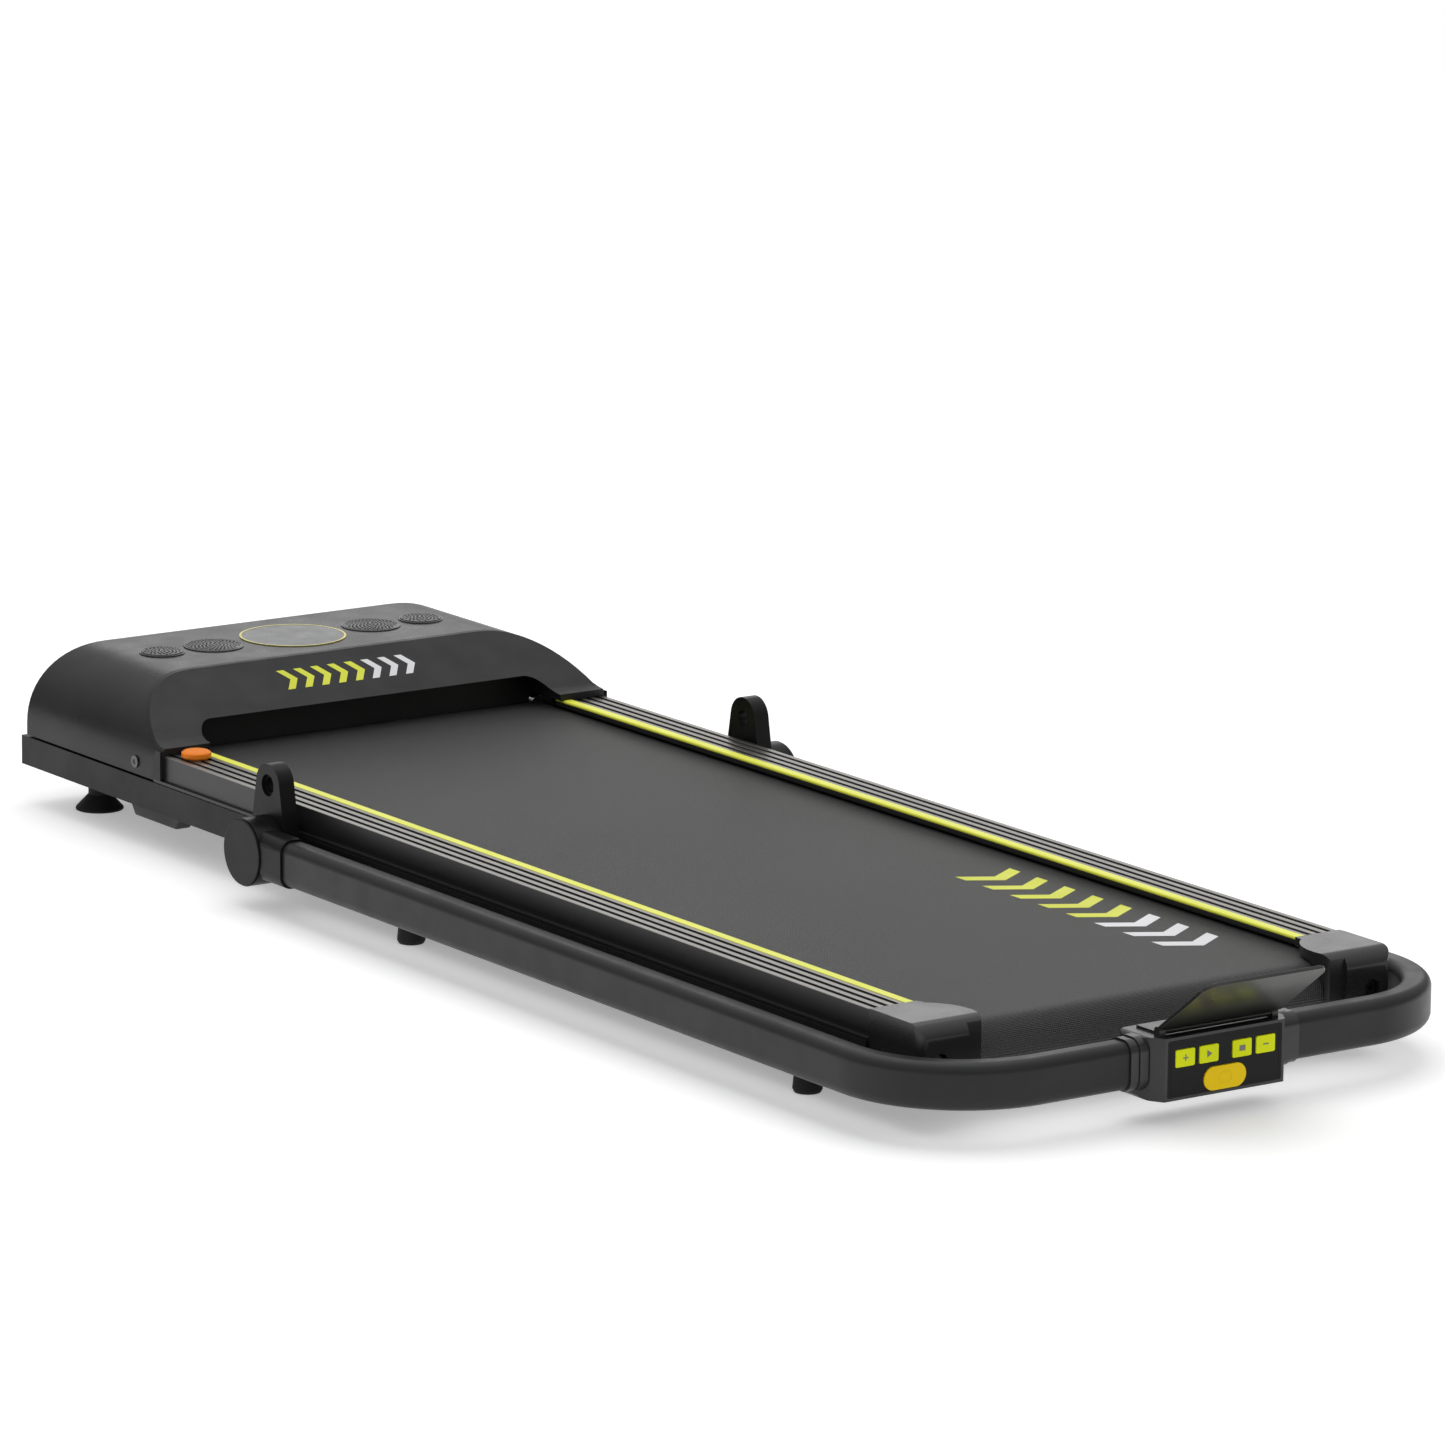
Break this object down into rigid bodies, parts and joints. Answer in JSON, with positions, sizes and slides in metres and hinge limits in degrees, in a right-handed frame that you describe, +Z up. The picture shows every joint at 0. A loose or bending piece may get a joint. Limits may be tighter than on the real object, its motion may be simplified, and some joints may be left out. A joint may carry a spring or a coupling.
{
  "type": "folding walking treadmill",
  "caption": "Low folding walking treadmill with a motor hood, belt deck, side rails and a swing-up handlebar that carries a button console and a tablet rest.",
  "frame": {"origin": "on the floor, under the middle of the whole folded machine", "axes": "+X to the right of a walker facing the hood, +Y towards the motor hood, +Z up"},
  "size_m": [0.558, 1.4824, 0.1424],
  "materials": {
    "painted_steel": "satin black powder coat",
    "galvanised": "plain steel",
    "plate_steel": "matt black paint",
    "black_plastic": "matt black moulded plastic",
    "hood_plastic": "fine-textured charcoal plastic",
    "fascia_plastic": "smooth matt black plastic",
    "cap_plastic": "semi-gloss black plastic",
    "console_plastic": "semi-gloss black plastic",
    "rubber": "black rubber",
    "belt": "black belt with a fine diamond texture",
    "aluminium": "brushed and anodised, grey-brown",
    "stripe": "bright yellow-green strip",
    "bar_paint": "satin black powder coat",
    "motor_grey": "grey enamel",
    "cast_pulley": "machined",
    "board": "green circuit board",
    "lens": "pale translucent window",
    "ring": "thin gilt ring",
    "key_orange": "orange plastic",
    "button_green": "yellow-green silicone",
    "button_amber": "amber silicone",
    "smoked": "smoked glossy plastic",
    "deck_wood": "fibre board",
    "rocker_red": "red rocker"
  },
  "bodies": {
    "base": {"frame_tube_left": "painted_steel", "frame_tube_right": "painted_steel", "frame_crossmembers": "painted_steel", "motor_plate": "plate_steel", "belly_pan": "black_plastic", "skid_blocks": "black_plastic", "cone_feet": "rubber", "frame_feet": "rubber", "wheel_brackets": "galvanised", "motor": "motor_grey", "motor_bracket": "galvanised", "drive_belt": "rubber", "control_board": "board", "power_inlet": "black_plastic", "front_axle": "galvanised", "rear_axle": "galvanised", "deck_board": "deck_wood", "deck_cushions": "rubber", "running_belt": "belt", "side_rail_left": "aluminium", "side_rail_right": "aluminium", "rail_stripes": "stripe", "end_cap_left": "cap_plastic", "end_cap_right": "cap_plastic", "tension_bolts": "galvanised", "motor_hood": "hood_plastic", "hood_fascia": "fascia_plastic", "hood_skirt": "black_plastic", "hood_screws": "galvanised", "display_ring": "ring", "display_lens": "lens", "display_board": "board", "speaker_grilles": "black_plastic", "speaker_drivers": "black_plastic", "key_dock": "galvanised", "pivot_pins": "galvanised"},
    "handlebar": {"hub_left": "cap_plastic", "hub_right": "cap_plastic", "hub_caps": "cap_plastic", "handlebar_tube_left": "bar_paint", "handlebar_tube_right": "bar_paint", "console_housing": "console_plastic", "console_face": "console_plastic"},
    "tablet_rest": {"tablet_plate": "smoked"},
    "plus_key": {"button_plus": "button_green"},
    "start_key": {"button_start": "button_green"},
    "stop_key": {"button_stop": "button_green"},
    "minus_key": {"button_minus": "button_green"},
    "pause_key": {"button_pause": "button_amber"},
    "motor_rotor": {"motor_shaft": "galvanised", "motor_pulley": "cast_pulley"},
    "front_drum": {"front_roller": "galvanised", "front_bearings": "galvanised", "roller_pulley": "cast_pulley"},
    "rear_drum": {"rear_roller": "galvanised", "rear_bearings": "galvanised"},
    "wheel_left": {"transport_wheel_left": "rubber"},
    "wheel_right": {"transport_wheel_right": "rubber"},
    "key": {"safety_key": "key_orange"},
    "rocker": {"power_rocker": "rocker_red"}
  },
  "joints": [
    {"name": "handlebar_fold", "type": "hinge", "parent": "base", "child": "handlebar", "pos_m": [0, 0.29523, 0.049], "axis": [-1, 0, 0], "range_deg": [0, 90]},
    {"name": "tablet_tilt", "type": "hinge", "parent": "handlebar", "child": "tablet_rest", "pos_m": [0, -0.67727, 0.0749], "axis": [-1, 0, 0], "range_deg": [-38, 52]},
    {"name": "plus_press", "type": "slide", "parent": "handlebar", "child": "plus_key", "axis": [0, 1, 0], "range_m": [0, 0.0012], "stiffness_N_per_m": 900},
    {"name": "start_press", "type": "slide", "parent": "handlebar", "child": "start_key", "axis": [0, 1, 0], "range_m": [0, 0.0012], "stiffness_N_per_m": 900},
    {"name": "stop_press", "type": "slide", "parent": "handlebar", "child": "stop_key", "axis": [0, 1, 0], "range_m": [0, 0.0012], "stiffness_N_per_m": 900},
    {"name": "minus_press", "type": "slide", "parent": "handlebar", "child": "minus_key", "axis": [0, 1, 0], "range_m": [0, 0.0012], "stiffness_N_per_m": 900},
    {"name": "pause_press", "type": "slide", "parent": "handlebar", "child": "pause_key", "axis": [0, 1, 0], "range_m": [0, 0.0012], "stiffness_N_per_m": 900},
    {"name": "front_roller_spin", "type": "hinge", "parent": "base", "child": "front_drum", "pos_m": [0, 0.54623, 0.0558], "axis": [1, 0, 0], "continuous": true},
    {"name": "rear_roller_spin", "type": "hinge", "parent": "base", "child": "rear_drum", "pos_m": [0, -0.57557, 0.0558], "axis": [1, 0, 0], "continuous": true},
    {"name": "motor_spin", "type": "hinge", "parent": "base", "child": "motor_rotor", "pos_m": [0, 0.64623, 0.081], "axis": [1, 0, 0], "continuous": true},
    {"name": "wheel_left_spin", "type": "hinge", "parent": "base", "child": "wheel_left", "pos_m": [-0.15, 0.69523, 0.028], "axis": [1, 0, 0], "continuous": true},
    {"name": "wheel_right_spin", "type": "hinge", "parent": "base", "child": "wheel_right", "pos_m": [0.15, 0.69523, 0.028], "axis": [1, 0, 0], "continuous": true},
    {"name": "key_lift", "type": "slide", "parent": "base", "child": "key", "axis": [0, 0, 1], "range_m": [0, 0.02]},
    {"name": "power_rock", "type": "hinge", "parent": "base", "child": "rocker", "pos_m": [0.1045, 0.72823, 0.092], "axis": [1, 0, 0], "range_deg": [-12, 0]}
  ],
  "couplings": [
    {"joint": "rear_roller_spin", "follows": "front_roller_spin", "ratio": 1},
    {"joint": "motor_spin", "follows": "front_roller_spin", "ratio": 1.8571}
  ]
}
